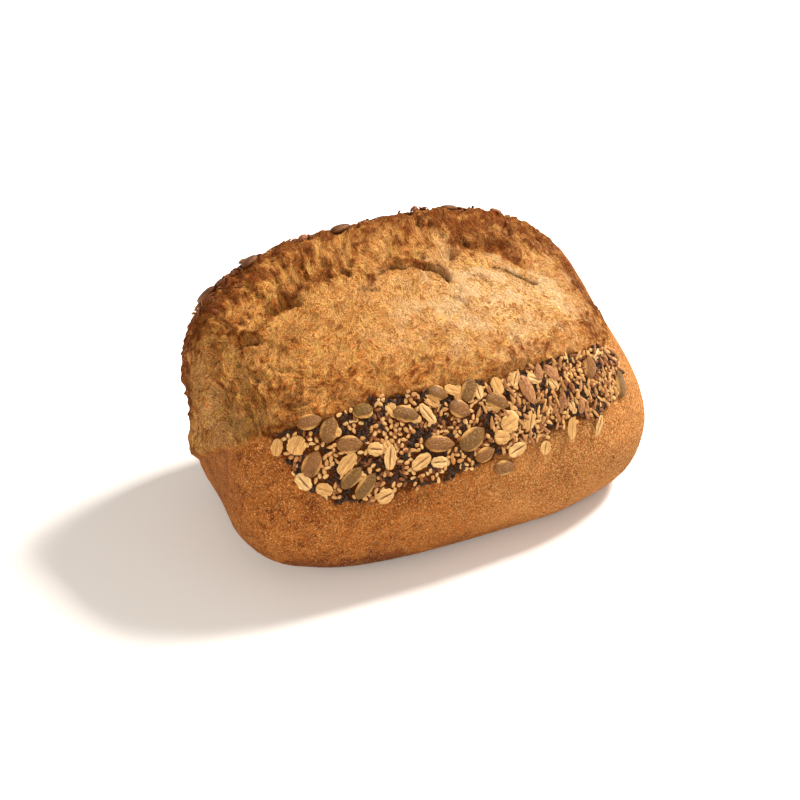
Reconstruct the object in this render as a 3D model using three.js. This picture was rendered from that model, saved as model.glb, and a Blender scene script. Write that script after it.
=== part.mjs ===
// A seeded sourdough loaf: one baked body with its score torn wide open along the top, and the
// larger pieces of its topping, pumpkin kernels, sunflower kernels and rolled oat flakes, each
// baked onto the crust as a piece of its own.
// Millimetres. X runs along the loaf, -Y is the front with the wide band of seeds, +Z is up, and
// the origin is under the middle of the loaf, on the face that it rests on.
import * as THREE from "three";

// ---- Driving dimensions of the loaf ----
// Each end reaches a little further at one height than at another: on the left the torn top
// hangs over the base, and on the right the base stands out past the top.
const REACH = { left: { low: 105, high: 107 }, right: { low: 104, high: 100 } };
const REACH_TURNS_AT = { from: 35, to: 85 };
const POLE_HEIGHT = { left: 62, right: 36 };
const STEPS_ALONG = 48;
const STEPS_AROUND = 64;

// How square each end is: the exponent of the rounded outline, in plan and in side view.
const PLAN_SQUARENESS = { left: 3.7, right: 3.4 };
const TOP_SQUARENESS = { left: 2.9, right: 2.7 };
const BASE_SQUARENESS = { left: 4.5, right: 4.0 };

// Each station is a whole section of the loaf, with [y, z] at every rail. The rails run from end to
// end: 0 the middle of the base, 1 its front edge, 2 the front heel, 3 the front side, 4 the low
// edge of the seed band, 5 its high edge, 6 the bloom, 7 the crease at the root of the ear, 8 the
// torn face of the ear, 9 the ear's edge, 10 the back shoulder, 11 the back side, 12 the back heel
// and 13 the back edge of the base. A base point below zero presses the base flat.
const LEFT_SECTION = [
  [0, -2], [-44, -1], [-62, 8], [-72, 27], [-71, 46], [-53, 81], [-28, 101],
  [8, 113], [20, 115], [36, 122], [58, 106], [70, 64], [61, 16], [42, -1],
];
const MIDDLE_SECTION = [
  [0, -2], [-46, -1], [-63, 8], [-72, 27], [-70, 47], [-50, 84], [-25, 103],
  [10, 115], [22, 118], [37, 125], [58, 108], [71, 64], [62, 16], [44, -1],
];
const RIGHT_SECTION = [
  [0, -2], [-44, -1], [-62, 8], [-70, 25], [-68, 45], [-50, 82], [-27, 101],
  [8, 115], [20, 118], [34, 122], [55, 105], [68, 62], [60, 16], [42, -1],
];

// From here to the end a loaf keeps its end section, and only closes.
const END_SECTION_FROM = 0.75;

const { lerp, smoothstep } = THREE.MathUtils;
const railCount = MIDDLE_SECTION.length;

// The section at a place along the loaf, from -1 at the left end to 1 at the right.
function sectionAt(along) {
  const end = along < 0 ? LEFT_SECTION : RIGHT_SECTION;
  const share = smoothstep(Math.abs(along), 0, END_SECTION_FROM);
  return MIDDLE_SECTION.map(([y, z], i) => [lerp(y, end[i][0], share), lerp(z, end[i][1], share)]);
}

// A closed smooth curve through the section's points, read at a rail number with a fraction.
function readSection(section, rail) {
  const i = Math.floor(rail);
  const t = rail - i;
  const p = [-1, 0, 1, 2].map((k) => section[(i + k + 2 * railCount) % railCount]);
  return [0, 1].map((axis) => {
    const [a, b, c, d] = p.map((q) => q[axis]);
    const bend = (2 * a - 5 * b + 4 * c - d) * t * t + (3 * b - a - 3 * c + d) * t * t * t;
    return b + 0.5 * ((c - a) * t + bend);
  });
}

// How much of its full size a section keeps at a place along the loaf.
function closing(along, squareness) {
  const n = along < 0 ? squareness.left : squareness.right;
  return Math.pow(Math.max(0, 1 - Math.pow(Math.abs(along), n)), 1 / n);
}

// A point of the crust: along runs from -1 to 1, and rail goes round the section. The section
// shrinks towards the pole of its end, and nothing goes below the base.
function crustPoint(along, rail) {
  const [y, z] = readSection(sectionAt(along), rail);
  const pole = lerp(POLE_HEIGHT.left, POLE_HEIGHT.right, (along + 1) / 2);
  const keep = closing(along, z > pole ? TOP_SQUARENESS : BASE_SQUARENESS);
  const height = Math.max(0, pole + (z - pole) * keep);
  const reach = along < 0 ? REACH.left : REACH.right;
  const turn = smoothstep(height, REACH_TURNS_AT.from, REACH_TURNS_AT.to);
  return new THREE.Vector3(
    along * lerp(reach.low, reach.high, turn),
    y * closing(along, PLAN_SQUARENESS),
    height,
  );
}

// ---- The loaf ----
function loafGeometry() {
  const points = [crustPoint(-1, 0)];
  const ring = (i, j) => 1 + (i - 1) * STEPS_AROUND + (j % STEPS_AROUND);
  for (let i = 1; i < STEPS_ALONG; i += 1) {
    const along = -Math.cos((Math.PI * i) / STEPS_ALONG);
    for (let j = 0; j < STEPS_AROUND; j += 1) {
      points.push(crustPoint(along, (j * railCount) / STEPS_AROUND));
    }
  }
  points.push(crustPoint(1, 0));
  const last = points.length - 1;
  const faces = [];
  for (let j = 0; j < STEPS_AROUND; j += 1) {
    faces.push(0, ring(1, j), ring(1, j + 1));
    faces.push(last, ring(STEPS_ALONG - 1, j + 1), ring(STEPS_ALONG - 1, j));
    for (let i = 1; i < STEPS_ALONG - 1; i += 1) {
      faces.push(ring(i, j), ring(i + 1, j), ring(i + 1, j + 1));
      faces.push(ring(i, j), ring(i + 1, j + 1), ring(i, j + 1));
    }
  }
  const geometry = new THREE.BufferGeometry().setFromPoints(points);
  geometry.setIndex(faces);
  geometry.computeVertexNormals();
  return geometry;
}

// ---- The larger pieces of the topping ----
// The dough was rolled in seeds and scored through them, and it tore open there in the oven. Half
// of the seeds now lie in a band low on the front, and the other half on the back of the ear.
// A row is one piece: [along, rail, turn, length, width]. The turn is in degrees, from the length
// of the loaf towards the top of the section, and the sizes are in millimetres.
const SEED_GAP = 0.3;
const SEED_SIDES = 12;
const SEED_RINGS = 4;

const PUMPKIN = { thickness: 2.6, point: 0.3, color: 0x7d6238, roughness: 0.55 };
const PUMPKIN_FRONT = [
  [-0.73, 4.62, 59, 13.2, 8.2], [-0.7, 5.14, 0, 11.4, 6.8], [-0.63, 4.98, 56, 12, 8],
  [-0.57, 4.74, -11, 11.8, 8], [-0.59, 4.4, 36, 13, 6.2], [-0.54, 4.28, 42, 14, 6.6],
  [-0.48, 5.08, -6, 9.5, 7], [-0.31, 4.86, -28, 12.6, 7.4], [-0.19, 4.47, -18, 14.6, 7.6],
  [-0.15, 4.97, -36, 10.5, 6.6], [-0.07, 4.74, -40, 11, 7.8], [-0.04, 4.45, 25, 14.6, 9.6],
  [-0.01, 4.92, 54, 11.4, 7.4], [0, 4.26, 15, 10.4, 6.4], [0.08, 4.04, 0, 10.5, 7],
  [0.11, 4.72, -34, 12.2, 7], [0.62, 4.9, 82, 11, 7.4], [0.77, 4.62, 88, 13, 7],
];
const PUMPKIN_BACK = [
  [-0.82, 9.6, -50, 12.4, 7.4], [-0.66, 10.3, 5, 12.6, 7.6], [-0.62, 9.3, 40, 11.4, 7.4],
  [-0.45, 9.75, -15, 13, 8], [-0.28, 10.2, 60, 13.4, 8.2], [-0.21, 9.15, 10, 11, 7],
  [0.02, 9.7, -40, 12.4, 7.6], [0.14, 10.3, 25, 14, 8], [0.33, 9.15, 20, 10, 7.2],
  [0.48, 9.85, 75, 12, 7.4], [0.64, 10.3, 10, 13, 8], [0.72, 9.5, -20, 12, 7.4],
];

const SUNFLOWER = { thickness: 2.4, point: 0.5, color: 0xa88a68, roughness: 0.7 };
const SUNFLOWER_FRONT = [
  [0.27, 4.77, -72, 15, 5.4], [0.34, 4.94, 86, 8.6, 3.8], [0.41, 4.9, -50, 11, 4.2],
  [0.43, 4.6, 86, 8.4, 3.6], [0.52, 4.5, 78, 8.2, 3.4],
];
const SUNFLOWER_BACK = [[-0.36, 9.4, 70, 10, 4.2], [0.57, 9.2, 30, 9.5, 4]];

const OAT = { thickness: 1.1, point: 0.12, color: 0xdcb878, roughness: 0.85 };
const OAT_FRONT = [
  [-0.84, 4.87, 76, 7.6, 5.2], [-0.77, 4.87, 60, 8.6, 8.2], [-0.78, 4.4, -48, 8.6, 6.2],
  [-0.71, 4.3, -20, 7.6, 5.8], [-0.6, 4.56, 40, 11.4, 6], [-0.47, 4.1, 14, 8, 6.6],
  [-0.47, 4.62, -20, 7.4, 6.2], [-0.42, 4.5, 72, 10.4, 5.6], [-0.29, 4.37, 20, 10.2, 6.2],
  [-0.22, 4.8, -66, 11, 4.6], [-0.09, 4.96, -30, 7.8, 4.6], [0.12, 4.88, -76, 8.4, 5.6],
  [0.14, 4.5, 20, 8.6, 8.4], [0.09, 4.38, -10, 7.8, 6.6], [0.15, 4.22, 18, 9.6, 5.8],
  [0.29, 4.15, 70, 6.4, 5.6], [0.44, 4.28, 78, 10.4, 4.8], [0.58, 4.22, 58, 10, 3.4],
];
const OAT_BACK = [[-0.5, 10.25, -30, 9, 7], [-0.1, 10, 35, 8.6, 7.4], [0.31, 9.8, -60, 9, 6.8]];

// The directions on the crust at a place: along the loaf, up the section, and straight out.
function crustDirections(along, rail) {
  const step = 0.01;
  const ahead = crustPoint(along + step, rail).sub(crustPoint(along - step, rail)).normalize();
  const upward = crustPoint(along, rail + step).sub(crustPoint(along, rail - step));
  const outward = new THREE.Vector3().crossVectors(ahead, upward).normalize();
  return { ahead, sideways: new THREE.Vector3().crossVectors(outward, ahead), outward };
}

// A flat oval with rounded rims, which narrows towards one end as far as its point says.
function seedGeometry(length, width, thickness, point) {
  const geometry = new THREE.SphereGeometry(0.5, SEED_SIDES, SEED_RINGS).rotateX(Math.PI / 2);
  const position = geometry.attributes.position;
  for (let i = 0; i < position.count; i += 1) {
    position.setY(i, position.getY(i) * (1 - 2 * point * position.getX(i)));
  }
  geometry.scale(length, width, thickness);
  geometry.computeVertexNormals();
  return geometry;
}

// One piece for each row, lying flat on the crust.
function seeds(name, kind, rows) {
  const group = new THREE.Group();
  const { thickness, point, color, roughness } = kind;
  const material = new THREE.MeshStandardMaterial({ color, roughness, metalness: 0 });
  rows.forEach(([along, rail, turn, length, width], i) => {
    const seed = new THREE.Mesh(seedGeometry(length, width, thickness, point), material);
    const { ahead, sideways, outward } = crustDirections(along, rail);
    seed.name = name + "_" + String(i + 1).padStart(2, "0");
    seed.quaternion.setFromRotationMatrix(new THREE.Matrix4().makeBasis(ahead, sideways, outward));
    seed.rotateZ(THREE.MathUtils.degToRad(turn));
    seed.position.copy(crustPoint(along, rail)).addScaledVector(outward, SEED_GAP + thickness / 2);
    group.add(seed);
  });
  return group;
}

// ---- The whole loaf, with the middle of its outline over the origin ----
const crust = new THREE.MeshStandardMaterial({ color: 0xb9783e, roughness: 0.85, metalness: 0 });
const body = new THREE.Mesh(loafGeometry(), crust);
body.name = "loaf_body";

const loaf = new THREE.Group();
loaf.add(
  body,
  seeds("pumpkin_kernel_front", PUMPKIN, PUMPKIN_FRONT),
  seeds("pumpkin_kernel_back", PUMPKIN, PUMPKIN_BACK),
  seeds("sunflower_kernel_front", SUNFLOWER, SUNFLOWER_FRONT),
  seeds("sunflower_kernel_back", SUNFLOWER, SUNFLOWER_BACK),
  seeds("oat_flake_front", OAT, OAT_FRONT),
  seeds("oat_flake_back", OAT, OAT_BACK),
);
const middle = new THREE.Box3().setFromObject(loaf, true).getCenter(new THREE.Vector3());
loaf.position.set(-middle.x, -middle.y, 0);

export default loaf;
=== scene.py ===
import math

import bpy
import numpy as np
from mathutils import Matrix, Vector, noise
from mathutils.bvhtree import BVHTree


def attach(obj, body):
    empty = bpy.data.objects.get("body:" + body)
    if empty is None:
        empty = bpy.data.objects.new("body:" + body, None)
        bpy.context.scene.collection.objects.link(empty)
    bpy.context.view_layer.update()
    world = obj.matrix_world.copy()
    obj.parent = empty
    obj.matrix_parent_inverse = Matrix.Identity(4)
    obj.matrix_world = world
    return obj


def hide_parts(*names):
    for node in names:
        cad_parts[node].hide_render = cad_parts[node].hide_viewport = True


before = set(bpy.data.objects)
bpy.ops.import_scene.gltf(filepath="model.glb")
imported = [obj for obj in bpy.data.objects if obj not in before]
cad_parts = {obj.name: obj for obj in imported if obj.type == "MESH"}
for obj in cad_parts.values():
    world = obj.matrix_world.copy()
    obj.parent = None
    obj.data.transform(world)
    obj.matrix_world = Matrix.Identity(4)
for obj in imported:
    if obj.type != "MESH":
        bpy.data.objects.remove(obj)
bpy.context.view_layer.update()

MM = 0.001

# ---- The view, the light and the floor ------------------------------------------------------
# The loaf stands on a plain white floor, seen from the front, a little to its left and from
# above. A strong lamp hangs behind its right end, and two weak, warm ones fill in the shade.

AZIMUTH, ELEVATION = math.radians(-25), math.radians(33)
LOOK_AT = Vector((-9.8, -0.4, 48.9)) * MM
DISTANCE = 915 * MM
LENS = 87.75
LAMP_AIM = Vector((0, 0, 0.05))

back = Vector((
    math.sin(AZIMUTH) * math.cos(ELEVATION),
    -math.cos(AZIMUTH) * math.cos(ELEVATION),
    math.sin(ELEVATION),
))
camera = bpy.data.objects.new("camera", bpy.data.cameras.new("camera"))
camera.data.lens = LENS
camera.location = LOOK_AT + back * DISTANCE
camera.rotation_euler = (-back).to_track_quat("-Z", "Y").to_euler()
bpy.context.collection.objects.link(camera)
bpy.context.scene.camera = camera


def hang_lamp(name, place, size, power, colour):
    """A square lamp that faces the loaf."""
    lamp = bpy.data.objects.new(name, bpy.data.lights.new(name, "AREA"))
    lamp.data.size = size
    lamp.data.energy = power
    lamp.data.color = colour
    lamp.location = place
    lamp.rotation_euler = (LAMP_AIM - lamp.location).to_track_quat("-Z", "Y").to_euler()
    bpy.context.collection.objects.link(lamp)


hang_lamp("window", Vector((0.85, 0.15, 0.95)), 0.34, 42.5, (1.0, 0.95, 0.88))
hang_lamp("front_fill", Vector((-0.7, -1.1, 0.6)), 0.7, 15, (1.0, 0.91, 0.81))
hang_lamp("left_fill", Vector((-1.3, -0.2, 0.5)), 0.6, 6.0, (1.0, 0.82, 0.66))

ROOM_LIGHT, ROOM_STRENGTH = (1.0, 0.96, 0.91, 1), 0.38
room = bpy.data.worlds.new("room")
room.use_nodes = True
room.node_tree.nodes["Background"].inputs["Color"].default_value = ROOM_LIGHT
room.node_tree.nodes["Background"].inputs["Strength"].default_value = ROOM_STRENGTH
bpy.context.scene.world = room
bpy.context.scene.view_settings.view_transform = "Standard"


def fill_inputs(tree, made, inputs):
    """Links or sets the inputs of a shader's or geometry tree's node, by name or number."""
    for name, value in inputs.items():
        if isinstance(value, bpy.types.NodeSocket):
            tree.links.new(value, made.inputs[name])
        else:
            made.inputs[name].default_value = value


def new_material(name):
    """A material with only a Principled shader in it, and that shader's node."""
    material = bpy.data.materials.new(name)
    material.use_nodes = True
    return material, material.node_tree, material.node_tree.nodes["Principled BSDF"]


FLOOR_WHITE = (0.86, 0.855, 0.85, 1)
white_floor, tree, surface = new_material("white_floor")
fill_inputs(tree, surface, {"Base Color": FLOOR_WHITE, "Roughness": 0.7})
bpy.ops.mesh.primitive_plane_add(size=8)
floor = bpy.context.object
floor.name = "floor"
floor.data.materials.append(white_floor)


# ---- The baked body -------------------------------------------------------------------------
# One dough, baked in one piece. Its skin is smooth, brown and floury up to the seeds. Above them
# the pale crumb burst out of the score and baked to gold, up to the toasted lip of the ear.
# It is laid over the plain loaf as an even net, then torn, folded and pitted with strokes.

# The net's cells along, across and up, and the boxes that it is drawn between, in millimetres.
NET_CELLS = np.array((184, 112, 98))
OUTER_HALF, OUTER_MIDDLE = (116, 84, 74), (0, 0, 64)
INNER_HALF, INNER_MIDDLE = (66, 30, 26), (0, 0, 58)
# Places on the crust are millimetres along the loaf and degrees round this axis.
AXIS_HEIGHT = 55.0
MM_PER_DEGREE = 1.05


def box_net(cells):
    """The corners, as whole steps, and the outward quads of a box's surface cut into cells."""
    quads = []
    for axis in range(3):
        first, second = (axis + 1) % 3, (axis + 2) % 3
        i, j = np.meshgrid(np.arange(cells[first]), np.arange(cells[second]), indexing="ij")
        for end in (0, cells[axis]):
            corners = np.zeros(i.shape + (4, 3), int)
            corners[..., axis] = end
            turn = ((0, 0), (1, 0), (1, 1), (0, 1)) if end else ((0, 0), (0, 1), (1, 1), (1, 0))
            for n, (di, dj) in enumerate(turn):
                corners[..., n, first] = i + di
                corners[..., n, second] = j + dj
            quads.append(corners.reshape(-1, 4, 3))
    steps, index = np.unique(np.concatenate(quads).reshape(-1, 3), axis=0, return_inverse=True)
    return steps, index.reshape(-1, 4)


def node_mesh(node):
    """The places of a CAD node's vertices, in millimetres, and its triangles."""
    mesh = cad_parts[node].data
    places = np.empty(len(mesh.vertices) * 3)
    mesh.vertices.foreach_get("co", places)
    return places.reshape(-1, 3) / MM, [tuple(p.vertices) for p in mesh.polygons]


def lay_net(steps):
    """Draws the net in from a box round the loaf, towards a smaller box inside, onto the loaf."""
    plain_loaf = BVHTree.FromPolygons(*node_mesh("loaf_body"))
    share = steps / NET_CELLS * 2 - 1
    outer = share * OUTER_HALF + OUTER_MIDDLE
    inner = share * INNER_HALF + INNER_MIDDLE
    rays = [(Vector(start), Vector(end - start)) for start, end in zip(outer, inner)]
    return np.array([plain_loaf.ray_cast(*ray)[0] for ray in rays])


def edges_of(quads):
    """Each edge of the net once, as its two vertices."""
    sides = np.concatenate([quads[:, [i, (i + 1) % 4]] for i in range(4)])
    return np.unique(np.sort(sides, axis=1), axis=0)


def relax(places, edges, pulls):
    """Evens out a net: each pull moves every vertex that share of the way to its neighbours."""
    count = np.bincount(edges.ravel(), minlength=len(places))[:, None]
    for step in pulls:
        total = np.zeros_like(places)
        for axis in range(3):
            total[:, axis] += np.bincount(edges[:, 0], places[edges[:, 1], axis], len(places))
            total[:, axis] += np.bincount(edges[:, 1], places[edges[:, 0], axis], len(places))
        places = places + step * (total / count - places)
    return places


def outward_at(places, quads):
    """The outward direction at each vertex."""
    a, b, c, d = (places[quads[:, i]] for i in range(4))
    facing = np.cross(c - a, d - b)
    total = np.zeros_like(places)
    for corner in range(4):
        for axis in range(3):
            total[:, axis] += np.bincount(quads[:, corner], facing[:, axis], len(places))
    return total / np.linalg.norm(total, axis=1, keepdims=True)


def lumps(places, size, octaves=2, shift=0.0):
    """Cloudy noise from about -1 to 1, with lumps of that many millimetres, or of one per axis."""
    scaled = places / size + shift
    return np.array([noise.fractal(p, 0.8, 2.1, octaves) for p in scaled])


def ramp(value, low, high):
    """0 below low and 1 above high, with soft ends."""
    t = np.clip((value - low) / (high - low), 0, 1)
    return t * t * (3 - 2 * t)


def girth_of(places):
    """How far round the loaf a place is, in degrees: 0 in front, 90 on top and 180 behind."""
    turn = np.degrees(np.arctan2(places[:, 2] - AXIS_HEIGHT, -places[:, 1]))
    return (turn + 90) % 360 - 90


def stroke(along, girth, points):
    """For a line through [mm along, degrees round] points: the distance in mm, above it as plus
    and below it as minus, and how near the middle of its length, from 0 at its ends to 1."""
    line = np.array(points, float) * (1, MM_PER_DEGREE)
    here = np.stack([along, girth * MM_PER_DEGREE], axis=1)
    lengths = np.linalg.norm(np.diff(line, axis=0), axis=1)
    best = np.full(len(here), 1e9)
    side = np.ones(len(here))
    place = np.zeros(len(here))
    for n, (start, end) in enumerate(zip(line[:-1], line[1:])):
        run = end - start
        t = np.clip((here - start) @ run / (run @ run), 0, 1)
        off = here - (start + t[:, None] * run)
        far = np.linalg.norm(off, axis=1)
        nearer = far < best
        best[nearer] = far[nearer]
        side[nearer] = np.sign(run[0] * off[nearer, 1] - run[1] * off[nearer, 0])
        place[nearer] = (lengths[:n].sum() + t[nearer] * lengths[n]) / lengths.sum()
    return best * side, ramp(place, -0.02, 0.25) * (1 - ramp(place, 0.75, 1.02))


def bell(distance, width):
    """1 in the middle, and falling softly to nothing at about twice the width."""
    return np.exp(-((distance / width) ** 2))


# Pulls in and back out by turns even the net without shrinking it.
EVENING_PULLS = (0.5, -0.52) * 12
BASE_START, BASE_END = 1.0, 9.0
steps, quads = box_net(NET_CELLS)
edges = edges_of(quads)
crust = relax(lay_net(steps), edges, EVENING_PULLS)
outward = outward_at(crust, quads)
along, depth, height = crust.T
girth = girth_of(crust)
above_base = ramp(height, BASE_START, BASE_END)

# Strands run down the burst in a fan, and up and down its ends: these places are squeezed that
# way, so that a cloud read at them is drawn out into strands.
end_on = outward[:, 0] ** 2
wander = 5 * lumps(crust, 14.0, 2, 71.0)
fan = (along + 10) / (1 + 0.012 * np.clip(100 - girth, 0, 60)) - 10
fan = fan + (along + depth - fan) * end_on
strand = np.stack([fan + wander, depth * 0.36 * (1 - end_on) + 0.3 * wander, height * 0.36], axis=1)
long_strand = np.stack([fan + 0.7 * wander, depth * 0.15 * (1 - end_on), height * 0.15], axis=1)

# The edge of the ear, as mm along and degrees round. On the right the crumb ends at another
# line, as degrees round and mm along, and below it starts at a height, as mm along and mm up.
ragged = lumps(crust, 9.0, 3, 4.0)
EAR_LINE = np.array([
    [-106, 126], [-86, 125], [-46, 124], [0, 123], [29, 121], [51, 119], [66, 117], [84, 114],
])
EAR_DEPTH_ON_LEFT_END = 31
RIGHT_LINE = np.array([
    [28, 83], [40, 86], [53, 88], [68, 88], [79, 86], [100, 84], [118, 80], [135, 74],
])
BURST_LINE = np.array([
    [-89, 76], [-78, 79], [-60, 83], [-38, 86.5], [-3, 84.5], [40, 83], [77, 79], [96, 74],
])
END_SLOPE, END_START = 0.7, -42
ear_lean = np.radians(np.interp(along, *EAR_LINE.T) - 90)
ear_depth = (height - AXIS_HEIGHT) * np.tan(ear_lean)
ear_depth += (np.maximum(ear_depth, EAR_DEPTH_ON_LEFT_END) - ear_depth) * ramp(-along, 82, 98)
burst_height = np.where(
    along < BURST_LINE[0, 0],
    BURST_LINE[0, 1] - END_SLOPE * (depth - END_START),
    np.interp(along, *BURST_LINE.T),
)
from_right = np.interp(girth, *RIGHT_LINE.T) - along
from_ear = np.minimum((ear_depth - depth) * np.cos(ear_lean), from_right)
from_ear += ragged * 2.2
from_burst = height - burst_height + ragged * 2.6
torn = ramp(from_ear, -1.0, 1.5) * ramp(from_burst, -1.8, 1.8)

# From here, move is how many millimetres each vertex moves outwards, toast is how brown its colour
# is made, from 0 to 1: mostly the oven's browning, and in places painted shade and painted light.
# hollow is how much painted shade it gets, from 0 to 1.
# The dough is fuller or slacker here and there: the middle in mm, how wide, and how far out.
SWELLS = [((-98, -32, 24), 25, 4.2), ((8, 36, 124), 32, -2.4), ((87, -22, 80), 25, -2.8)]
FULLNESS = 0.9
move = FULLNESS * lumps(crust, 34.0, 2) * above_base
for middle, wide, out in SWELLS:
    move += out * bell(np.linalg.norm(crust - middle, axis=1), wide)
toast_and_painted_light = np.zeros(len(crust))
hollow = np.zeros(len(crust))

# The crumb stands proud of the seeds below it, and is rougher the nearer it is to the ear.
CRUMB_RISE, EDGE_RISE = 0.4, 1.5
HUMPS, NUBS = 0.85, 0.4
rough = 0.35 + 0.95 * np.maximum(ramp(girth, 72, 105), ramp(-along, 62, 96))
move += torn * (CRUMB_RISE + EDGE_RISE * (1 - ramp(from_burst, 3, 16)))
move += torn * rough * (HUMPS * lumps(crust, 11.0, 2, 2.0) + NUBS * lumps(crust, 4.2, 2, 7.0))

# Webs of strands hang where it tore open widest, and elsewhere the burst is finely wrinkled.
FIBRE_DEPTH, FAINT_FIBRE_DEPTH = 1.45, 0.10
WRINKLE_DEPTH, SKIN_DEPTH = 0.72, 0.12
webs = 1 - 2.2 * np.abs(lumps(long_strand, 9.0, 2, 3.0))
fibres = 0.7 * webs + 0.6 * lumps(strand, 2.4, 2, 3.0)
webbed = torn * np.maximum(ramp(girth, 90, 104), ramp(-along, 80, 97))
move += (FAINT_FIBRE_DEPTH * torn + FIBRE_DEPTH * webbed) * fibres
toast_and_painted_light += 0.22 * webbed * np.clip(webs, -1, 1)
wrinkles = 1 - 2.4 * np.abs(lumps(crust + wander[:, None], 6.5, 3, 81.0))
move += (torn - webbed) * WRINKLE_DEPTH * wrinkles
move += (1 - torn) * above_base * SKIN_DEPTH * lumps(crust, 5.0, 2, 11.0)

# The lip of the ear is thick, toasted and knobbly.
EAR_WIDTH, EAR_RISE, KNOB_RISE = 6.0, 0.5, 2.1
ear_ridge = bell(from_ear + 1, EAR_WIDTH) * ramp(height, 45, 70) * (1 - 0.6 * ramp(along, 70, 84))
move += ear_ridge * (EAR_RISE + KNOB_RISE * lumps(crust, 4.2, 3, 5.0))
ear_knobs = lumps(crust, 6.5, 3, 33.0)
low_right = ramp(along, 55, 75) * ramp(-height, -88, -78)
on_ear = ramp(from_ear, -22, -8) * ramp(height, 40, 62) * (1 - low_right)
ear_edge = 1.1 * ramp(from_ear + 4 * ear_knobs, 10, 2)
ear_face = (0.34 + 0.50 * ramp(along, -30, 25)) * ramp(from_ear + 5 * ear_knobs, 25, 5)
toast_and_painted_light += on_ear * (ear_edge + ear_face)

# The root of the ear, a shallow valley, with the sharp creases that tore open along it. Each
# crease is its line, how deep and how wide it is, and how far its lip stands out.
VALLEY = [
    (-92, 86), (-79, 93), (-60, 98), (-45, 104), (-30, 102), (-12, 100), (2, 98), (15, 96),
    (29, 94), (38, 89), (47, 82), (55, 75), (61, 66),
]
VALLEY_DEPTH, VALLEY_WIDTH = 1.6, 6.5
far, middle = stroke(along, girth, VALLEY)
move -= VALLEY_DEPTH * bell(far - 3, VALLEY_WIDTH) * middle
CREASES = [
    ([(-80, 92), (-76, 95), (-69, 97), (-60, 97), (-55, 96)], 4.6, 3.6, 0.35),
    ([(-59, 104), (-51, 105), (-42, 106), (-33, 104.5), (-27, 101)], 4.6, 3.8, 0.35),
    ([(-17, 98.5), (-12, 100), (-6, 99.5), (2, 97), (9, 92), (14, 83)], 4.4, 2.2, 0.2),
    ([(36, 90.5), (42, 87), (47, 82), (51, 78.5), (56, 74)], 2.4, 1.8, -0.15),
    ([(-89, 91), (-85, 88), (-80, 84)], 2.6, 3.0, 0.3),
    ([(28, 107), (34, 104)], 2.2, 1.8, 0.2),
    ([(-87, 41), (-79, 38.5), (-68, 39)], 0.7, 1.2, 0.2),
    ([(-30, 92), (-24, 91), (-20, 88)], 1.2, 2.0, 0.2),
    ([(9, 76), (12, 70), (16, 63)], 0.8, 1.2, 0.0),
    ([(22, 88), (28, 83), (31, 77)], 0.8, 1.2, 0.0),
]
# Each crease gets painted shade in its groove, and above it a band painted browner, partly as browning
# and partly as painted shade on the face of the flap.
for points, deep, wide, lip in CREASES:
    far, middle = stroke(along, girth, points)
    middle = np.clip(1.9 * middle, 0, 1)
    far = far + 1.0 * lumps(crust, 5.0, 3, 9.0)
    cut = np.where(far > 0, np.exp(-far / wide), bell(far, 0.8)) * middle
    move -= 1.3 * deep * cut
    shade = min(1, 0.3 + deep / 3) * bell(far - 0.9, 0.16 * wide + 0.8) * middle
    hollow = np.maximum(hollow, shade)
    move += lip * deep * bell(far + 2.8, 2.6) * middle
    toast_and_painted_light += 0.06 * deep * bell(far - 3.0, 2.6) * middle

# Ridges of baked dough across the burst, each as its line, how tall and wide it is, and how
# brown. The long trough lies under the ear on the right.
RIDGES = [
    ([(-89, 104), (-86, 99), (-82, 94), (-77, 86)], 2.4, 2.2, 0.45),
    ([(-17, 102), (-8, 104.5), (1, 103), (9, 98), (15, 91), (19, 83)], 2.4, 1.9, 0.12),
    ([(-62, 112), (-59, 105), (-57, 98)], 1.8, 2.6, 0.35),
    ([(-24, 106), (-22, 98), (-20, 90)], 0.8, 2.2, 0.6),
    ([(33, 114), (42, 110), (52, 105), (60, 96)], 1.2, 2.6, 0.5),
    ([(-84, 41), (-78, 40), (-70, 40.5)], 0.8, 1.8, 0.4),
    ([(-57, 94), (-48, 79), (-39, 63), (-30, 53)], 0.8, 1.8, 0.45),
    ([(-94, 68), (-85, 52), (-69, 47), (-47, 42)], 0.7, 2.4, 0.35),
    ([(-81, 97), (-74, 79), (-68, 64)], 0.7, 1.6, 0.2),
    ([(28, 98), (33, 97), (39, 96)], 0.6, 2.2, 0.55),
    ([(46, 46), (62, 47), (80, 45)], 0.5, 2.6, 0.35),
    ([(-28, 52), (-16, 56), (-4, 59), (6, 57)], 0.7, 3.0, 0.35),
    ([(8, 74), (20, 70), (34, 70)], 0.4, 1.5, 0.2),
]
for points, tall, wide, brown in RIDGES:
    far, middle = stroke(along, girth, points)
    ridge = bell(far + 0.8 * lumps(crust, 5.0, 2, 13.0), wide) * middle
    move += tall * ridge
    toast_and_painted_light += brown * ridge
# Along the trough the crumb is painted darker brown, partly as browning and partly as painted shade in
# the trough.
TROUGH = [(24, 109), (33, 106), (41, 103), (49, 99), (55, 91), (57, 84)]
TROUGH_DEPTH, TROUGH_WIDTH = 3.6, 4.2
far, middle = stroke(along, girth, TROUGH)
trough = bell(far, TROUGH_WIDTH) * middle
move -= TROUGH_DEPTH * trough
toast_and_painted_light += 1.1 * bell(far - 1.0, 5.2) * middle


def pits(size, share, shift):
    """Round pits at scattered places, from 0 at their rims to 1 in the middle. A share of the
    cells of that size has a pit."""
    found = np.zeros(len(crust))
    for n, place in enumerate(crust / size + shift):
        distances, centres = noise.voronoi(place)
        if noise.cell(centres[0] * PIT_SCATTER) < share:
            found[n] = max(0.0, 1 - distances[0] / PIT_RADIUS)
    return found


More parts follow.
